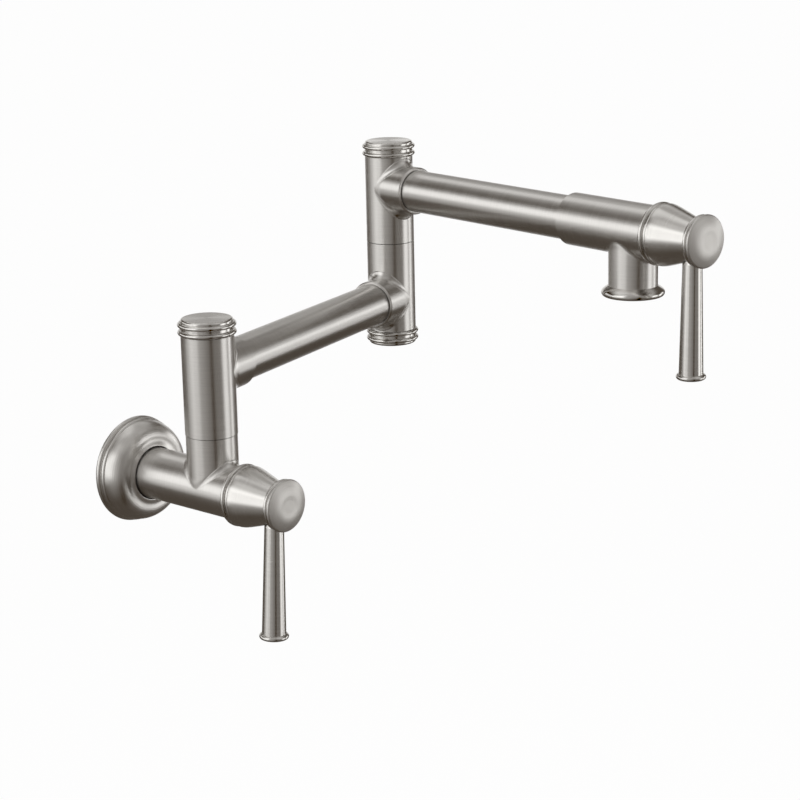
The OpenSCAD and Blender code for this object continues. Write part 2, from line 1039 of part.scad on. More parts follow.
module handle_face() {
    rotate_extrude()
        difference() {
            union() {
                band(0, hub_recess_r, hub_len - face_plug_len, hub_len + cut);
                band(0, hub_bead_d / 2 - face_groove_inset, hub_len, face_back + face_bead_r);
                bead(face_d / 2, face_bead_r, face_back + face_bead_r);
                polygon(concat(
                    [[0, face_back], [face_d / 2 - face_bead_r, face_back]],
                    [[face_d / 2 - face_edge_inset, face_back + face_bead_r]],
                    [for (i = [0 : face_dome_steps]) face_turn(i)],
                    [for (i = [1 : face_dome_steps]) face_dome(i)],
                    [[face_flat_r - face_dish_edge, face_top_z - face_dish_h], [0, face_top_z - face_dish_h]]
                ));
            }
            band(0, face_hollow_r, hub_len - hub_recess_len - cut, hub_len);
        }
}

// A lever, turned along Z, with its axis through the valve's centre line
module lever() {
    foot_z = -lever_len;
    bead_z = foot_z + lever_bead_up;
    rotate_extrude()
        union() {
            band(0, lever_stud_r, -lever_seat_z - cut, -lever_stud_top);
            polygon([
                [0, foot_z],
                [lever_foot_flat_r, foot_z],
                [lever_foot_d / 2 - lever_bead_r / 2, bead_z],
                [lever_low_d / 2, bead_z],
                [lever_top_d / 2, -lever_seat_z - lever_neck_h],
                [lever_neck_d / 2, -lever_seat_z],
                [0, -lever_seat_z]
            ]);
            bead(lever_foot_d / 2, lever_bead_r, bead_z);
        }
}

module laid_forward() {
    along_x()
        children();
}

module handle_place() {
    translate([hub_back_x, 0, 0])
        along_x()
            children();
}

module past_down(lean) {
    rotate([-lean, 0, 0])
        children();
}

module lever_place() {
    translate([hub_back_x + lever_x, 0, 0])
        children();
}

// Valve 1, at the wall

module valve_1_seat_seal() {
    color(rubber)
        at_valve_1()
            laid_forward()
                valve_seat_seal();
}

module valve_1_cartridge() {
    color(raw_brass)
        at_valve_1()
            laid_forward()
                valve_cartridge();
}

module valve_1_fixed_disc() {
    color(ceramic)
        at_valve_1()
            laid_forward()
                valve_fixed_disc();
}

module valve_1_turning_disc() {
    color(ceramic)
        at_valve_1()
            past_down(lever_1_lean)
                laid_forward()
                    valve_turning_disc();
}

module valve_1_spindle() {
    color(raw_brass)
        at_valve_1()
            past_down(lever_1_lean)
                laid_forward()
                    valve_spindle();
}

module valve_1_spindle_seal() {
    color(rubber)
        at_valve_1()
            laid_forward()
                valve_spindle_seal();
}

module valve_1_ring() {
    color(polished)
        at_valve_1()
            laid_forward()
                valve_ring();
}

module valve_1_bonnet_nut() {
    color(raw_brass)
        at_valve_1()
            laid_forward()
                valve_bonnet_nut();
}

module handle_1_hub() {
    color(satin)
        at_valve_1()
            past_down(lever_1_lean)
                handle_place()
                    handle_hub();
}

module handle_1_screw() {
    color(bright_steel)
        at_valve_1()
            past_down(lever_1_lean)
                handle_place()
                    handle_screw();
}

module handle_1_face() {
    color(satin)
        at_valve_1()
            past_down(lever_1_lean)
                handle_place()
                    handle_face();
}

module lever_1() {
    color(satin)
        at_valve_1()
            past_down(lever_1_lean)
                lever_place()
                    lever();
}

// Valve 2, at the outlet

module valve_2_seat_seal() {
    color(rubber)
        at_valve_2()
            laid_forward()
                valve_seat_seal();
}

module valve_2_cartridge() {
    color(raw_brass)
        at_valve_2()
            laid_forward()
                valve_cartridge();
}

module valve_2_fixed_disc() {
    color(ceramic)
        at_valve_2()
            laid_forward()
                valve_fixed_disc();
}

module valve_2_turning_disc() {
    color(ceramic)
        at_valve_2()
            laid_forward()
                valve_turning_disc();
}

module valve_2_spindle() {
    color(raw_brass)
        at_valve_2()
            laid_forward()
                valve_spindle();
}

module valve_2_spindle_seal() {
    color(rubber)
        at_valve_2()
            laid_forward()
                valve_spindle_seal();
}

module valve_2_ring() {
    color(polished)
        at_valve_2()
            laid_forward()
                valve_ring();
}

module valve_2_bonnet_nut() {
    color(raw_brass)
        at_valve_2()
            laid_forward()
                valve_bonnet_nut();
}

module handle_2_hub() {
    color(satin)
        at_valve_2()
            handle_place()
                handle_hub();
}

module handle_2_screw() {
    color(bright_steel)
        at_valve_2()
            handle_place()
                handle_screw();
}

module handle_2_face() {
    color(satin)
        at_valve_2()
            handle_place()
                handle_face();
}

module lever_2() {
    color(satin)
        at_valve_2()
            lever_place()
                lever();
}

flange_gasket();
wall_flange();
flange_grip_ring();
inlet_body();
post_1_spindle();
post_1_o_rings();
post_1_thrust_washer();
post_1_retaining_nut();
post_1_body();
post_1_cap();
post_1_cap_seal();
arm_1_tube();
elbow_lower_post();
elbow_bottom_cap();
elbow_bottom_cap_seal();
elbow_spindle();
elbow_o_rings();
elbow_thrust_washer();
elbow_retaining_nut();
elbow_upper_post();
elbow_top_cap();
elbow_top_cap_seal();
arm_2_tube();
spout_body();
outlet_rim();
aerator_washer();
aerator_housing();
aerator_screen();
valve_1_seat_seal();
valve_1_cartridge();
valve_1_fixed_disc();
valve_1_turning_disc();
valve_1_spindle();
valve_1_spindle_seal();
valve_1_ring();
valve_1_bonnet_nut();
handle_1_hub();
handle_1_screw();
handle_1_face();
lever_1();
valve_2_seat_seal();
valve_2_cartridge();
valve_2_fixed_disc();
valve_2_turning_disc();
valve_2_spindle();
valve_2_spindle_seal();
valve_2_ring();
valve_2_bonnet_nut();
handle_2_hub();
handle_2_screw();
handle_2_face();
lever_2();
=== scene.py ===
import math

import bmesh
import bpy
from mathutils import Matrix, Vector


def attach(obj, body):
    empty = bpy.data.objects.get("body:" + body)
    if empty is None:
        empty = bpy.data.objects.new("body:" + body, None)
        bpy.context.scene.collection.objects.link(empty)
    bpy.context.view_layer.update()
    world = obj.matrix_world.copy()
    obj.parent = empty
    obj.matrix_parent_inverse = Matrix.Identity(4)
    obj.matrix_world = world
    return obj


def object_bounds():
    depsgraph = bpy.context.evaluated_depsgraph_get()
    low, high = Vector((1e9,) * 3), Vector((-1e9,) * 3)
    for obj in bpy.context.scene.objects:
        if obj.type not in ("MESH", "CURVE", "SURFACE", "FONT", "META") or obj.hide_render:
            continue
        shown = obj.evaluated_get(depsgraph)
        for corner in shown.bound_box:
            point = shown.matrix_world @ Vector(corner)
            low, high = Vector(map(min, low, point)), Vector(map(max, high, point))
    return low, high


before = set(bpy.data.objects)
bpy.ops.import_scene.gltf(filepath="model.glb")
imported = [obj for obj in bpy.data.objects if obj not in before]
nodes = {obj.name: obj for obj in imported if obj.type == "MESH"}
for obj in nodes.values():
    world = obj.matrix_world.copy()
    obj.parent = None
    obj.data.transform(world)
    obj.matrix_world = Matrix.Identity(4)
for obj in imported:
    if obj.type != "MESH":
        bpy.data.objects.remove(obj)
cad_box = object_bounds()

# Camera.
# The tap hangs on a wall, and the camera looks at it from its left, a little above it.
# Its place, turn and lens come from fitting the tap's own outlines to the photograph.
MM = 0.001
camera_place = Vector((-892.433, -1001.136, 398.911)) * MM
camera_turn = math.radians(-48.894)
camera_down = math.radians(15.108)
camera_roll = math.radians(-1.249)
focal_px = 2216.856
image_px = 800

look = Vector((
    -math.sin(camera_turn) * math.cos(camera_down),
    math.cos(camera_turn) * math.cos(camera_down),
    -math.sin(camera_down),
))
level_right = Vector((math.cos(camera_turn), math.sin(camera_turn), 0))
level_up = level_right.cross(look)
right = math.cos(camera_roll) * level_right + math.sin(camera_roll) * level_up
up = math.cos(camera_roll) * level_up - math.sin(camera_roll) * level_right
camera_data = bpy.data.cameras.new("camera")
camera_data.sensor_width = 36
camera_data.lens = focal_px * camera_data.sensor_width / image_px
camera_data.clip_end = 50
camera = bpy.data.objects.new("camera", camera_data)
camera.matrix_world = Matrix.Translation(camera_place) @ Matrix((right, up, -look)).transposed().to_4x4()
bpy.context.collection.objects.link(camera)
bpy.context.scene.camera = camera


# Studio.
# A dim room with soft boxes at the left, front and right and one above and behind, and a pale floor below.
# The camera sees plain white behind the tap, and the metal sees that white only in that same direction.
def linear(code):
    """A colour written as sRGB hex, turned linear, with full opacity."""
    parts = [int(code[i:i + 2], 16) / 255 for i in (1, 3, 5)]
    return tuple(c / 12.92 if c <= 0.04045 else ((c + 0.055) / 1.055) ** 2.4 for c in parts) + (1,)


def add(tree, kind, settings=None, links=None):
    """Adds a node, sets its properties, and gives its inputs a value or a link."""
    made = tree.nodes.new(kind)
    for key, value in (settings or {}).items():
        setattr(made, key, value)
    for key, value in (links or {}).items():
        if isinstance(value, bpy.types.NodeSocket):
            tree.links.new(value, made.inputs[key])
        else:
            made.inputs[key].default_value = value
    return made


bpy.context.scene.view_settings.view_transform = "Standard"
world = bpy.data.worlds.new("studio")
bpy.context.scene.world = world
world.use_nodes = True
tree = world.node_tree
tree.nodes.clear()
room_level = 0.09
direction = add(tree, "ShaderNodeTexCoord").outputs["Generated"]
height = add(tree, "ShaderNodeMath", {"operation": "ARCSINE"},
             {0: add(tree, "ShaderNodeSeparateXYZ", links={0: direction}).outputs["Z"]}).outputs[0]


def box_edge(value, half, soft):
    """One within half of zero, fading to nothing over soft, all in radians."""
    away = add(tree, "ShaderNodeMath", {"operation": "ABSOLUTE"}, {0: value})
    faded = add(tree, "ShaderNodeMapRange", {"interpolation_type": "SMOOTHSTEP"},
                {"Value": away.outputs[0], "From Min": half, "From Max": half + soft,
                 "To Min": 1.0, "To Max": 0.0})
    return faded.outputs["Result"]


def soft_glow(heading, rise, half_wide, half_high, soft, level):
    """The reflection of a soft box, by its heading and height, half sizes and soft edge in degrees."""
    h, r, w, t, e = (math.radians(v) for v in (heading, rise, half_wide, half_high, soft))
    ahead = add(tree, "ShaderNodeVectorMath", {"operation": "DOT_PRODUCT"},
                {0: direction, 1: (math.cos(h), math.sin(h), 0)})
    aside = add(tree, "ShaderNodeVectorMath", {"operation": "DOT_PRODUCT"},
                {0: direction, 1: (-math.sin(h), math.cos(h), 0)})
    turned = add(tree, "ShaderNodeMath", {"operation": "ARCTAN2"},
                 {0: aside.outputs["Value"], 1: ahead.outputs["Value"]})
    risen = add(tree, "ShaderNodeMath", {"operation": "SUBTRACT"}, {0: height, 1: r})
    both_ways = add(tree, "ShaderNodeMath", {"operation": "MULTIPLY"},
                    {0: box_edge(turned.outputs[0], w, e), 1: box_edge(risen.outputs[0], t, e)})
    scaled = add(tree, "ShaderNodeMath", {"operation": "MULTIPLY"}, {0: both_ways.outputs[0], 1: level})
    return scaled.outputs[0]


# Heading 0 looks along the wall to the right, 90 into the wall and 270 out of it. A level below zero is a
# dark flag, which gives the metal its dark bands.
soft_boxes_seen = (
    # what the metal shows, heading, height, half width, half height, soft edge, level
    ("ceiling", 0, 80, 180, 26, 22, 0.34),
    ("panel_above_the_wall", 90, 72, 34, 10, 14, 0.45),
    ("gap_under_that_panel", 96, 37, 26, 5, 7, -0.14),
    ("high_box_at_the_front_right", 292, 42, 16, 14, 18, 0.24),
    ("wide_fill_behind_the_camera", 225, 16, 55, 16, 34, 0.20),
    ("box_at_the_rear_left", 118, 9, 20, 7, 7, 1.10),
    ("low_box_at_the_rear_left", 138, -11, 16, 6, 8, 0.42),
    ("box_at_the_left", 160, 14, 14, 16, 16, 0.95),
    ("high_box_at_the_left", 168, 44, 12, 12, 14, 0.38),
    ("low_fill_at_the_left", 180, -8, 12, 14, 40, 0.18),
    ("flag_beside_the_camera", 240, -14, 2, 40, 8, -0.17),
    ("box_at_the_front_right", 302, -6, 7, 9, 14, 1.35),
    ("strip_at_the_right", 331, -8, 4, 10, 7, 1.50),
    ("strip_further_right", 346, 4, 6, 4, 8, 1.40),
    ("long_strip_at_the_rear_right", 50, 38, 24, 4, 9, 0.50),
    ("short_strip_at_the_rear_right", 68, 42, 8, 3, 6, 0.60),
    ("low_strip_at_the_rear_right", 50, 4, 28, 5, 10, 0.75),
)
glow_sum = 0.0
for name, heading, rise, half_wide, half_high, soft, level in soft_boxes_seen:
    glow = soft_glow(heading, rise, half_wide, half_high, soft, level)
    glow.node.label = name
    glow_sum = add(tree, "ShaderNodeMath", {"operation": "ADD"}, {0: glow_sum, 1: glow}).outputs[0]

# The metal sees the white backdrop only straight behind the tap. It starts and is full at these cosines of
# the angle from the camera's line of sight.
backdrop_edge, backdrop_full = 0.93, 0.985
facing = add(tree, "ShaderNodeVectorMath", {"operation": "DOT_PRODUCT"}, {0: direction, 1: look})
behind = add(tree, "ShaderNodeMapRange", {"interpolation_type": "SMOOTHSTEP"},
             {"Value": facing.outputs["Value"], "From Min": backdrop_edge, "From Max": backdrop_full})
path = add(tree, "ShaderNodeLightPath").outputs
shiny = add(tree, "ShaderNodeMath", {"operation": "MAXIMUM"},
            {0: path["Is Glossy Ray"], 1: path["Is Transmission Ray"]})
mirrored = add(tree, "ShaderNodeMath", {"operation": "MULTIPLY"},
               {0: shiny.outputs[0], 1: behind.outputs["Result"]})
white_seen = add(tree, "ShaderNodeMath", {"operation": "MAXIMUM"},
                 {0: mirrored.outputs[0], 1: path["Is Camera Ray"]})
dim = add(tree, "ShaderNodeBackground", links={"Color": linear("#FFEBD6"), "Strength": room_level})
lit = add(tree, "ShaderNodeBackground", links={"Color": linear("#FEFFFF"), "Strength": glow_sum})
room = add(tree, "ShaderNodeAddShader", links={0: dim.outputs[0], 1: lit.outputs[0]})
white = add(tree, "ShaderNodeBackground", links={"Color": (1, 1, 1, 1), "Strength": 1.0})
mixed = add(tree, "ShaderNodeMixShader",
            links={0: white_seen.outputs[0], 1: room.outputs[0], 2: white.outputs[0]})
add(tree, "ShaderNodeOutputWorld", links={"Surface": mixed.outputs[0]})

middle = (Vector(cad_box[0]) + Vector(cad_box[1])) / 2


def soft_box(name, heading, height, distance, size, level):
    """A rectangular lamp of a plain level that faces the tap from a heading and a height in degrees."""
    h, e = math.radians(heading), math.radians(height)
    away = Vector((math.cos(h) * math.cos(e), math.sin(h) * math.cos(e), math.sin(e)))
    data = bpy.data.lights.new(name, "AREA")
    data.shape = "RECTANGLE"
    data.size, data.size_y = size
    data.energy = level * math.pi * size[0] * size[1]
    lamp = bpy.data.objects.new(name, data)
    lamp.location = middle + away * distance
    lamp.rotation_euler = away.to_track_quat("Z", "Y").to_euler()
    lamp.visible_camera = False
    lamp.visible_glossy = False
    bpy.context.collection.objects.link(lamp)


soft_box("left_soft_box", heading=142, height=0, distance=1.6, size=(1.15, 1.7), level=3.0)
soft_box("right_strip", heading=-42, height=-6, distance=1.6, size=(0.36, 1.5), level=4.0)
soft_box("front_fill", heading=287, height=-6, distance=1.8, size=(2.0, 1.4), level=1.2)
soft_box("rear_top_strip", heading=58, height=40, distance=1.6, size=(1.2, 0.34), level=5.0)

floor_mesh = bpy.data.meshes.new("floor")
floor_half = 14
floor_z = -1.1
floor_white_share = 0.97
floor_mesh.from_pydata(
    [(x * floor_half, y * floor_half, floor_z) for x, y in ((-1, -1), (1, -1), (1, 1), (-1, 1))],
    [], [(0, 1, 2, 3)])
floor = bpy.data.objects.new("floor", floor_mesh)
bpy.context.collection.objects.link(floor)
pale = bpy.data.materials.new("pale_floor")
pale.use_nodes = True
tree = pale.node_tree
tree.nodes.clear()
path = add(tree, "ShaderNodeLightPath").outputs
paint = add(tree, "ShaderNodeBsdfDiffuse", links={"Color": linear("#F2F1EF")})
glow = add(tree, "ShaderNodeEmission", links={"Color": (1, 1, 1, 1), "Strength": 1.0})
share = add(tree, "ShaderNodeMath", {"operation": "MULTIPLY"},
            {0: path["Is Camera Ray"], 1: floor_white_share})
mixed = add(tree, "ShaderNodeMixShader",
            links={0: share.outputs[0], 1: paint.outputs[0], 2: glow.outputs[0]})
add(tree, "ShaderNodeOutputMaterial", links={"Surface": mixed.outputs[0]})
floor_mesh.materials.append(pale)
floor.visible_glossy = False

# Wall flange.
# A spun brass bell with two turned beads at its rear edge, nickel plated and brushed round its axis.
# A rubber gasket lies behind it and a rubber ring in its mouth grips the inlet tube.
UP = Vector((0, 0, 1))
WALL_OUT = Vector((0, -1, 0))


def round_marks(tree, place, way, spacing, run):
    """Brush marks round an axis, as noise stretched along them, and the direction in which they run."""
    turn = way.to_track_quat("Z", "Y").to_matrix().transposed().to_euler()
    here = add(tree, "ShaderNodeTexCoord").outputs["Object"]
    centred = add(tree, "ShaderNodeVectorMath", {"operation": "SUBTRACT"}, {0: here, 1: place})
    turned = add(tree, "ShaderNodeMapping", {"vector_type": "POINT"},
                 {"Vector": centred.outputs[0], "Rotation": turn})
    scaled = add(tree, "ShaderNodeVectorMath", {"operation": "MULTIPLY"},
                 {0: turned.outputs[0], 1: (1 / run, 1 / run, 1 / spacing)})
    noise = add(tree, "ShaderNodeTexNoise", {"noise_dimensions": "3D"},
                {"Vector": scaled.outputs[0], "Scale": 1.0, "Detail": 3.0, "Roughness": 0.6})
    along = add(tree, "ShaderNodeVectorMath", {"operation": "CROSS_PRODUCT"}, {0: way, 1: centred.outputs[0]})
    return noise.outputs["Fac"], along.outputs[0]


def brushed_nickel(name, place, way, tint="#DFDDDA", rough=0.30, spread=0.10, depth=0.008, grain=0.75,
                   spacing=0.75 * MM, run=16 * MM, branch=None):
    """Brass plated with nickel and brushed while it turns, which stretches the reflections along each tube.
    branch is the place, way and reach of a second tube on the same piece. The marks are drawn coarser than
    real ones, so that they show. grain is how much more they scatter light across themselves than along."""
    material = bpy.data.materials.new(name)
    material.use_nodes = True
    tree = material.node_tree
    tree.nodes.clear()
    marks, along = round_marks(tree, place, way, spacing, run)
    if branch:
        branch_place, branch_way, reach = branch
        turn_from, turn_to = 0.3 * MM, 2.5 * MM
        other, other_along = round_marks(tree, branch_place, branch_way, spacing, run)
        here = add(tree, "ShaderNodeTexCoord").outputs["Object"]
        offset = add(tree, "ShaderNodeVectorMath", {"operation": "SUBTRACT"}, {0: here, 1: place})
        ahead = add(tree, "ShaderNodeVectorMath", {"operation": "DOT_PRODUCT"},
                    {0: offset.outputs[0], 1: way})
        beside = add(tree, "ShaderNodeVectorMath", {"operation": "SCALE"},
                     {0: way, "Scale": ahead.outputs["Value"]})
        out = add(tree, "ShaderNodeVectorMath", {"operation": "SUBTRACT"},
                  {0: offset.outputs[0], 1: beside.outputs[0]})
        aside = add(tree, "ShaderNodeVectorMath", {"operation": "LENGTH"}, {0: out.outputs[0]})
        past = add(tree, "ShaderNodeMapRange", {"interpolation_type": "SMOOTHSTEP"},
                   {"Value": aside.outputs["Value"],
                    "From Min": reach + turn_from, "From Max": reach + turn_to})
        marks = add(tree, "ShaderNodeMix", {"data_type": "FLOAT"},
                    {0: past.outputs[0], 2: marks, 3: other}).outputs[0]
        along = add(tree, "ShaderNodeMix", {"data_type": "VECTOR"},
                    {0: past.outputs[0], 4: along, 5: other_along}).outputs[1]
    laid = add(tree, "ShaderNodeVectorTransform",
               {"vector_type": "VECTOR", "convert_from": "OBJECT", "convert_to": "WORLD"}, {0: along})
    grain_way = add(tree, "ShaderNodeVectorMath", {"operation": "NORMALIZE"}, {0: laid.outputs[0]})
    here = add(tree, "ShaderNodeTexCoord").outputs["Object"]
    cloud_size, cloud_rough = 22 * MM, 0.05
    cloud = add(tree, "ShaderNodeTexNoise",
                links={"Vector": here, "Scale": 1 / cloud_size, "Detail": 2.0}).outputs["Fac"]
    base = Vector(linear(tint)[:3])
    dark_share, pale_share = 0.88, 1.10
    shade = add(tree, "ShaderNodeMix", {"data_type": "RGBA"},
                {0: marks, 6: (*(base * dark_share), 1), 7: (*(base * pale_share), 1)})
    worn = add(tree, "ShaderNodeMath", {"operation": "MULTIPLY_ADD"},
               {0: marks, 1: spread, 2: rough - spread / 2})
    uneven = add(tree, "ShaderNodeMath", {"operation": "MULTIPLY_ADD"},
                 {0: cloud, 1: cloud_rough, 2: worn.outputs[0]})
    lifted = add(tree, "ShaderNodeBump", links={"Strength": 1.0, "Distance": depth * MM, "Height": marks})
    quarter_turn = 0.25
    metal = add(tree, "ShaderNodeBsdfPrincipled", links={
        "Base Color": shade.outputs[2], "Metallic": 1.0, "Roughness": uneven.outputs[0],
        "Normal": lifted.outputs[0], "Anisotropic": grain, "Anisotropic Rotation": quarter_turn,
        "Tangent": grain_way.outputs[0]})
    add(tree, "ShaderNodeOutputMaterial", links={"Surface": metal.outputs[0]})
    return material


def wear(material, *names):
    """Gives CAD nodes a material in place of their own."""
    for name in names:
        mesh = nodes[name].data
        mesh.materials.clear()
        mesh.materials.append(material)
        mesh.polygons.foreach_set("material_index", [0] * len(mesh.polygons))


def plain_stuff(name, tint, rough, grain, metallic=0.0, depth=0.02):
    """A moulded, lapped or machined material of one kind, with a fine grain in its colour and surface."""
    material = bpy.data.materials.new(name)
    material.use_nodes = True
    tree = material.node_tree
    tree.nodes.clear()
    here = add(tree, "ShaderNodeTexCoord").outputs["Object"]
    speck = add(tree, "ShaderNodeTexNoise",
                links={"Vector": here, "Scale": 1 / grain, "Detail": 4.0}).outputs["Fac"]
    base = Vector(linear(tint)[:3])
    dark_share, pale_share, spread = 0.82, 1.12, 0.12
    shade = add(tree, "ShaderNodeMix", {"data_type": "RGBA"},
                {0: speck, 6: (*(base * dark_share), 1), 7: (*(base * pale_share), 1)})
    worn = add(tree, "ShaderNodeMath", {"operation": "MULTIPLY_ADD"},
               {0: speck, 1: spread, 2: rough - spread / 2})
    lifted = add(tree, "ShaderNodeBump", links={"Strength": 1.0, "Distance": depth * MM, "Height": speck})
    made = add(tree, "ShaderNodeBsdfPrincipled", links={
        "Base Color": shade.outputs[2], "Metallic": metallic, "Roughness": worn.outputs[0],
        "Normal": lifted.outputs[0]})
    add(tree, "ShaderNodeOutputMaterial", links={"Surface": made.outputs[0]})
    return material


flange_metal = brushed_nickel("flange_brushed_nickel", Vector((0, 0, 0)), WALL_OUT, spacing=0.9 * MM)
wear(flange_metal, "wall_flange")
# Moulded nitrile rubber, black and dull.
black_rubber = plain_stuff("black_moulded_rubber", "#1C1C1D", 0.62, 1.5 * MM)
wear(black_rubber, "flange_gasket", "flange_grip_ring")

# Inlet body.
# A brass tube with a riser brazed into its side, plated and brushed as one piece.
# The soft corner between the two tubes is filler metal, dressed smooth before plating.
inlet_reach = 71.5 * MM
post_1 = WALL_OUT * inlet_reach


def saddle(name, body, place, main_way, main_r, branch_way, branch_r, soft, material, steps=120, arc=8):
    """A dressed fillet between a main tube and its branch: a ball of radius soft rolled round their joint."""
    side_way = main_way.cross(branch_way)
    sunk = 0.4 * MM
    least_turn = 1e-5
    rings = []
    for i in range(steps):
        a = 2 * math.pi * i / steps
        side, high = (branch_r + soft) * math.cos(a), (branch_r + soft) * math.sin(a)
        out = math.sqrt((main_r + soft) ** 2 - side ** 2)
        ball = Vector((out, side, high))
        on_main = Vector((out * main_r / (main_r + soft), side * main_r / (main_r + soft), high))
        on_branch = Vector((out, side * branch_r / (branch_r + soft), high * branch_r / (branch_r + soft)))
        first, last = (on_main - ball).normalized(), (on_branch - ball).normalized()
        turn = math.acos(max(-1, min(1, first.dot(last))))
        ring = []
        for j in range(arc + 1):
            t = j / arc
            if turn > least_turn:
                way = (first * math.sin((1 - t) * turn) + last * math.sin(t * turn)) / math.sin(turn)
            else:
                way = first
            ring.append(ball + way * soft)
        deep_branch = on_branch.copy()
        deep_branch.y -= sunk * math.cos(a)
        deep_branch.z -= sunk * math.sin(a)
        deep_main = on_main - Vector((on_main.x, on_main.y, 0)).normalized() * sunk
        root = Vector((deep_main.x, deep_branch.y, deep_branch.z))
        rings.append(ring + [deep_branch, root, deep_main])
    mesh = bmesh.new()
    verts = [[mesh.verts.new(place + branch_way * p.x + side_way * p.y + main_way * p.z) for p in ring]
             for ring in rings]
    count = len(verts[0])
    for i in range(steps):
        for j in range(count):
            k = (j + 1) % count
            n = (i + 1) % steps
            mesh.faces.new((verts[i][j], verts[i][k], verts[n][k], verts[n][j]))
    bmesh.ops.recalc_face_normals(mesh, faces=mesh.faces)
    data = bpy.data.meshes.new(name)
    mesh.to_mesh(data)
    mesh.free()
    for polygon in data.polygons:
        polygon.use_smooth = True
    piece = bpy.data.objects.new(name, data)
    bpy.context.collection.objects.link(piece)
    data.materials.append(material)
    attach(piece, body)


inlet_r, riser_r = 16 * MM, 15.7 * MM
inlet_metal = brushed_nickel("inlet_brushed_nickel", post_1, WALL_OUT, branch=(post_1, UP, inlet_r))
wear(inlet_metal, "inlet_body")
inlet_fillet_r = 4 * MM
saddle("inlet_fillet", "wall_body", post_1, WALL_OUT, inlet_r, UP, riser_r, inlet_fillet_r, inlet_metal)

# First post.
# The post turns on a hollow brass spindle and has a short collar for the arm tube brazed into its side.
# Its cap is turned with two polished beads and screws down onto the post.
post_r, collar_r = 16 * MM, 15.7 * MM
collar_fillet_r = 5 * MM
riser_top = 34 * MM
post_1_below = 38.5 * MM
arm_1_z = riser_top + post_1_below
arm_1_root = post_1 + UP * arm_1_z
arm_1_heading = math.radians(12)
arm_1_way = Vector((math.cos(arm_1_heading), math.sin(arm_1_heading), 0))
post_1_metal = brushed_nickel("post_1_brushed_nickel", post_1, UP, branch=(arm_1_root, arm_1_way, post_r))
wear(post_1_metal, "post_1_body")
saddle("post_1_collar_fillet", "arm_1", arm_1_root, UP, post_r, arm_1_way, collar_r, collar_fillet_r,
       post_1_metal)
# Caps and rims are polished after the brushing, so they mirror more sharply than the tubes.
cap_1_metal = brushed_nickel("post_1_cap_polished_nickel", post_1, UP, rough=0.19, spacing=0.5 * MM)
wear(cap_1_metal, "post_1_cap")

# Arm tubes.
# Two drawn brass tubes, brushed round their length and soldered into the collars and the spout.
# The second arm leaves the elbow well above the first, so that the arms fold over each other.
arm_length = 225.5 * MM
elbow = post_1 + arm_1_way * arm_length
arm_1_metal = brushed_nickel("arm_1_brushed_nickel", arm_1_root, arm_1_way)
wear(arm_1_metal, "arm_1_tube")
elbow_lower_above, elbow_upper_below = 39 * MM, 37 * MM
elbow_turn = math.radians(-110.5)
arm_2_z = arm_1_z + elbow_lower_above + elbow_upper_below
arm_2_root = elbow + UP * arm_2_z
arm_2_heading = arm_1_heading + elbow_turn
arm_2_way = Vector((math.cos(arm_2_heading), math.sin(arm_2_heading), 0))
arm_2_metal = brushed_nickel("arm_2_brushed_nickel", arm_2_root, arm_2_way)
wear(arm_2_metal, "arm_2_tube")


def new_group(name, inputs):
    """A Geometry Nodes group with named inputs, given as name, socket kind and value."""
    group = bpy.data.node_groups.new(name, "GeometryNodeTree")
    for label, kind, value in inputs:
        socket = group.interface.new_socket(label, in_out="INPUT", socket_type=kind)
        if value is not None:
            socket.default_value = value
    group.interface.new_socket("Geometry", in_out="OUTPUT", socket_type="NodeSocketGeometry")
    return group


def made_by(group, name, values, to_place):
    """A plain mesh made once by a Geometry Nodes group and moved to its place."""
    piece = bpy.data.objects.new(name, bpy.data.meshes.new(name + "_start"))
    bpy.context.collection.objects.link(piece)
    modifier = piece.modifiers.new(name, "NODES")
    modifier.node_group = group
    for socket in group.interface.items_tree:
        if socket.in_out == "INPUT" and socket.name in values:
            modifier[socket.identifier] = values[socket.name]
    seen = piece.evaluated_get(bpy.context.evaluated_depsgraph_get())
    plain = bpy.data.meshes.new_from_object(seen)
    piece.modifiers.remove(modifier)
    plain.name = name
    plain.transform(to_place)
    piece.data = plain
    return piece


# A rolled lip closes each collar's mouth and the spout's rear mouth. Both lips of an arm are made together.
mouth_gap_r, lip_r = 14.25 * MM, 0.42 * MM
collar_end, spout_back = 28.5 * MM, 51 * MM
spout_end = arm_length - spout_back
hoop_steps, lip_steps = 128, 16
lips = new_group("pair_of_lips", (
    ("Ring Radius", "NodeSocketFloat", mouth_gap_r + lip_r), ("Lip Radius", "NodeSocketFloat", lip_r),
    ("Apart", "NodeSocketFloat", 0.1), ("Material", "NodeSocketMaterial", None)))
given = add(lips, "NodeGroupInput").outputs
step = add(lips, "ShaderNodeCombineXYZ", links={"X": given["Apart"]})
ends = add(lips, "GeometryNodeMeshLine", {"mode": "OFFSET"}, {"Count": 2, "Offset": step.outputs[0]})
circle = add(lips, "GeometryNodeCurvePrimitiveCircle",
             links={"Resolution": hoop_steps, "Radius": given["Ring Radius"]})
section = add(lips, "GeometryNodeCurvePrimitiveCircle",
              links={"Resolution": lip_steps, "Radius": given["Lip Radius"]})
hoop = add(lips, "GeometryNodeCurveToMesh",
           links={"Curve": circle.outputs["Curve"], "Profile Curve": section.outputs["Curve"]})
placed = add(lips, "GeometryNodeInstanceOnPoints",
             links={"Points": ends.outputs["Mesh"], "Instance": hoop.outputs[0],
                    "Rotation": (0, math.pi / 2, 0)})
real = add(lips, "GeometryNodeRealizeInstances", links={"Geometry": placed.outputs[0]})
smooth = add(lips, "GeometryNodeSetShadeSmooth", links={"Geometry": real.outputs[0]})
clad = add(lips, "GeometryNodeSetMaterial",
           links={"Geometry": smooth.outputs[0], "Material": given["Material"]})
add(lips, "NodeGroupOutput", links={"Geometry": clad.outputs[0]})
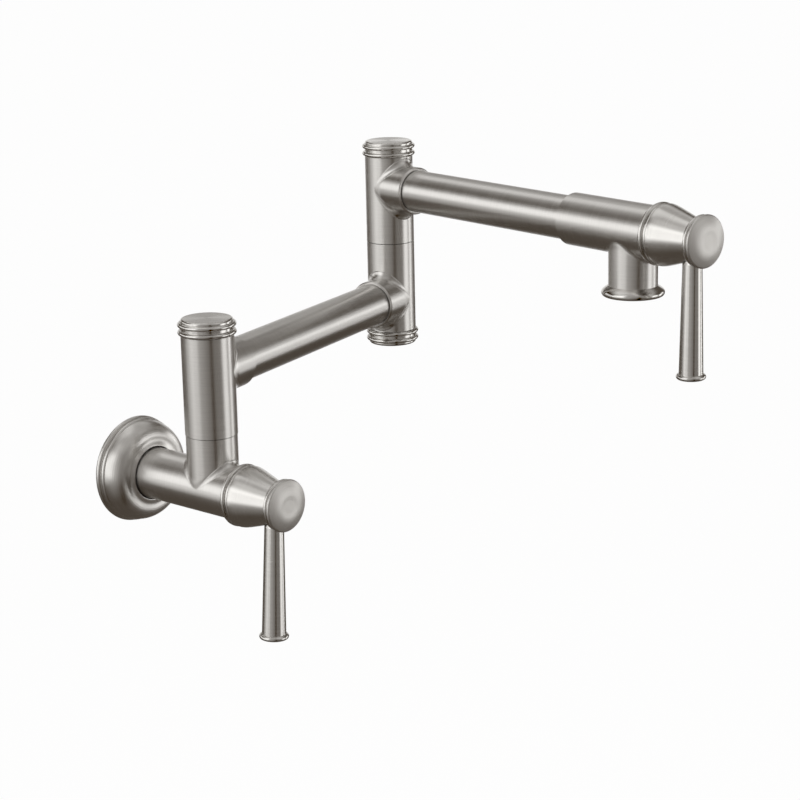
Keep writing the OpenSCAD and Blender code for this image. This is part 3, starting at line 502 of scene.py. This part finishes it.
for name, body, root, way, last, metal in (
        ("arm_1_lips", "arm_1", arm_1_root, arm_1_way, arm_length - collar_end, arm_1_metal),
        ("arm_2_lips", "arm_2", arm_2_root, arm_2_way, spout_end, arm_2_metal)):
    first = collar_end - lip_r / 2
    turn = Vector((1, 0, 0)).rotation_difference(way).to_matrix().to_4x4()
    pair = made_by(lips, name, {"Apart": last + lip_r / 2 - first, "Material": metal},
                   Matrix.Translation(root + way * first) @ turn)
    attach(pair, body)

# Elbow.
# Two posts on one spindle, the lower one with its collar towards the first post and the upper one with
# its collar towards the spout. Each has the same cap at its free end.
elbow_low = elbow + UP * arm_1_z
elbow_low_metal = brushed_nickel("elbow_lower_brushed_nickel", elbow, UP,
                                 branch=(elbow_low, -arm_1_way, post_r))
wear(elbow_low_metal, "elbow_lower_post")
saddle("elbow_lower_fillet", "arm_1", elbow_low, UP, post_r, -arm_1_way, collar_r, collar_fillet_r,
       elbow_low_metal)
elbow_high_metal = brushed_nickel("elbow_upper_brushed_nickel", elbow, UP,
                                  branch=(arm_2_root, arm_2_way, post_r))
wear(elbow_high_metal, "elbow_upper_post")
saddle("elbow_upper_fillet", "arm_2", arm_2_root, UP, post_r, arm_2_way, collar_r, collar_fillet_r,
       elbow_high_metal)
elbow_cap_metal = brushed_nickel("elbow_cap_polished_nickel", elbow, UP, rough=0.19, spacing=0.5 * MM)
wear(elbow_cap_metal, "elbow_top_cap", "elbow_bottom_cap")

# Spout.
# The spout's body carries the second valve and a short outlet pipe that points down.
# A flared rim screws into the pipe and holds the aerator.
spout_r, outlet_r, outlet_fillet_r = 16.25 * MM, 15 * MM, 2.5 * MM
outlet = elbow + arm_2_way * arm_length
spout_root = outlet + UP * arm_2_z
spout_metal = brushed_nickel("spout_brushed_nickel", spout_root, arm_2_way, branch=(spout_root, -UP, spout_r))
wear(spout_metal, "spout_body")
saddle("outlet_fillet", "arm_2", spout_root, arm_2_way, spout_r, -UP, outlet_r, outlet_fillet_r, spout_metal)
rim_metal = brushed_nickel("outlet_rim_polished_nickel", spout_root, UP, rough=0.17, spacing=0.5 * MM)
wear(rim_metal, "outlet_rim")
# Moulded acetal, white and slightly waxy.
white_plastic = plain_stuff("white_moulded_acetal", "#D9DBDB", 0.45, 1.2 * MM)
wear(white_plastic, "aerator_housing", "post_1_thrust_washer", "elbow_thrust_washer")
# Stainless steel sheet, etched through and left satin.
etched_steel = plain_stuff("etched_stainless_steel", "#B9B9BA", 0.32, 0.8 * MM, metallic=1.0)
wear(etched_steel, "aerator_screen", "handle_1_screw", "handle_2_screw")

# The aerator's face is a screen of woven stainless wire under the perforated plate.
screen_r, wire_r, wires, wire_sides = 8.5 * MM, 0.13 * MM, 19, 8
outlet_drop, rim_h, plate_in = 34 * MM, 6.3 * MM, 1 * MM
plate_z = arm_2_z - outlet_drop - rim_h + plate_in
weave = new_group("woven_screen", (
    ("Radius", "NodeSocketFloat", screen_r), ("Wire Radius", "NodeSocketFloat", wire_r),
    ("Spacing", "NodeSocketFloat", 2 * screen_r / (wires + 1)), ("Wires", "NodeSocketInt", wires),
    ("Material", "NodeSocketMaterial", None)))
given = add(weave, "NodeGroupInput").outputs
gaps = add(weave, "ShaderNodeMath", {"operation": "SUBTRACT"}, {0: given["Wires"], 1: 1.0})
width = add(weave, "ShaderNodeMath", {"operation": "MULTIPLY"}, {0: gaps.outputs[0], 1: given["Spacing"]})
start = add(weave, "ShaderNodeMath", {"operation": "MULTIPLY"}, {0: width.outputs[0], 1: -0.5})
start_place = add(weave, "ShaderNodeCombineXYZ", links={"X": start.outputs[0]})
step = add(weave, "ShaderNodeCombineXYZ", links={"X": given["Spacing"]})
row = add(weave, "GeometryNodeMeshLine", {"mode": "OFFSET"},
          {"Count": given["Wires"], "Start Location": start_place.outputs[0], "Offset": step.outputs[0]})
across = add(weave, "ShaderNodeSeparateXYZ", links={0: add(weave, "GeometryNodeInputPosition").outputs[0]})
across_squared = add(weave, "ShaderNodeMath", {"operation": "POWER"}, {0: across.outputs["X"], 1: 2.0})
radius_squared = add(weave, "ShaderNodeMath", {"operation": "POWER"}, {0: given["Radius"], 1: 2.0})
rest = add(weave, "ShaderNodeMath", {"operation": "SUBTRACT"},
           {0: radius_squared.outputs[0], 1: across_squared.outputs[0]})
half_chord = add(weave, "ShaderNodeMath", {"operation": "SQRT"}, {0: rest.outputs[0]})
chord = add(weave, "ShaderNodeMath", {"operation": "MULTIPLY"}, {0: half_chord.outputs[0], 1: 2.0})
stretch = add(weave, "ShaderNodeCombineXYZ", links={"X": 1.0, "Y": 1.0, "Z": chord.outputs[0]})
wire = add(weave, "GeometryNodeMeshCylinder",
           links={"Vertices": wire_sides, "Radius": given["Wire Radius"], "Depth": 1.0})
warp = add(weave, "GeometryNodeInstanceOnPoints",
           links={"Points": row.outputs["Mesh"], "Instance": wire.outputs["Mesh"],
                  "Rotation": (math.pi / 2, 0, 0), "Scale": stretch.outputs[0]})
lift = add(weave, "ShaderNodeCombineXYZ", links={"Z": given["Wire Radius"]})
weft = add(weave, "GeometryNodeTransform", links={"Geometry": warp.outputs[0], "Translation": lift.outputs[0],
                                                  "Rotation": (0, 0, math.pi / 2)})
both = add(weave, "GeometryNodeJoinGeometry", links={"Geometry": warp.outputs[0]})
weave.links.new(weft.outputs[0], both.inputs[0])
real = add(weave, "GeometryNodeRealizeInstances", links={"Geometry": both.outputs[0]})
clad = add(weave, "GeometryNodeSetMaterial",
           links={"Geometry": real.outputs[0], "Material": given["Material"]})
add(weave, "NodeGroupOutput", links={"Geometry": clad.outputs[0]})
screen = made_by(weave, "aerator_wire_screen", {"Material": etched_steel},
                 Matrix.Translation(outlet + UP * (plate_z - 2 * wire_r)))
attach(screen, "arm_2")

# Valves.
# Each valve is a brass cartridge with two ceramic discs, held by a hexagonal nut under the handle.
# Only the polished ring behind the handle shows.
# Machined brass, yellow, with faint tool marks.
machined_brass = plain_stuff("machined_brass", "#C9A35C", 0.30, 1.0 * MM, metallic=1.0)
wear(machined_brass, "post_1_spindle", "post_1_retaining_nut", "elbow_spindle", "elbow_retaining_nut",
     "valve_1_cartridge", "valve_1_spindle", "valve_1_bonnet_nut",
     "valve_2_cartridge", "valve_2_spindle", "valve_2_bonnet_nut")
# Alumina ceramic, lapped flat, nearly white.
lapped_alumina = plain_stuff("lapped_alumina", "#EFEDE8", 0.25, 0.6 * MM)
wear(lapped_alumina, "valve_1_fixed_disc", "valve_1_turning_disc",
     "valve_2_fixed_disc", "valve_2_turning_disc")
wear(black_rubber, "post_1_o_rings", "post_1_cap_seal", "elbow_o_rings", "elbow_bottom_cap_seal",
     "elbow_top_cap_seal", "aerator_washer", "valve_1_seat_seal", "valve_1_spindle_seal",
     "valve_2_seat_seal", "valve_2_spindle_seal")

# Handles.
# A turned hub with a domed face and a bead round its front, and a lever that screws into its underside.
# Hub and face are brushed round the valve's axis, the lever round its own.
handle_1_metal = brushed_nickel("handle_1_brushed_nickel", post_1, WALL_OUT, rough=0.22)
wear(handle_1_metal, "handle_1_hub", "valve_1_ring")
handle_2_metal = brushed_nickel("handle_2_brushed_nickel", spout_root, arm_2_way, rough=0.22)
wear(handle_2_metal, "handle_2_hub", "valve_2_ring")
# The faces are brushed more lightly and finely than the hubs, so they shine softly and alike all round.
face_1_metal = brushed_nickel("face_1_satin_nickel", post_1, WALL_OUT,
                              rough=0.44, spacing=0.45 * MM, grain=0.3)
wear(face_1_metal, "handle_1_face")
face_2_metal = brushed_nickel("face_2_satin_nickel", spout_root, arm_2_way,
                              rough=0.44, spacing=0.45 * MM, grain=0.3)
wear(face_2_metal, "handle_2_face")
valve_1_face, valve_2_face = 23.2 * MM, 20.2 * MM
ring_w, ring_proud, lever_in = 3.6 * MM, 0.3 * MM, 23.4 * MM
lever_1_place = post_1 + WALL_OUT * (valve_1_face + ring_w + ring_proud + lever_in)
lever_2_place = spout_root + arm_2_way * (valve_2_face + ring_w + ring_proud + lever_in)
lever_1_lean = math.radians(3)
lever_1_way = Vector((math.sin(lever_1_lean), 0, math.cos(lever_1_lean)))
lever_1_metal = brushed_nickel("lever_1_brushed_nickel", lever_1_place, lever_1_way, rough=0.22)
wear(lever_1_metal, "lever_1")
lever_2_metal = brushed_nickel("lever_2_brushed_nickel", lever_2_place, UP, rough=0.22)
wear(lever_2_metal, "lever_2")
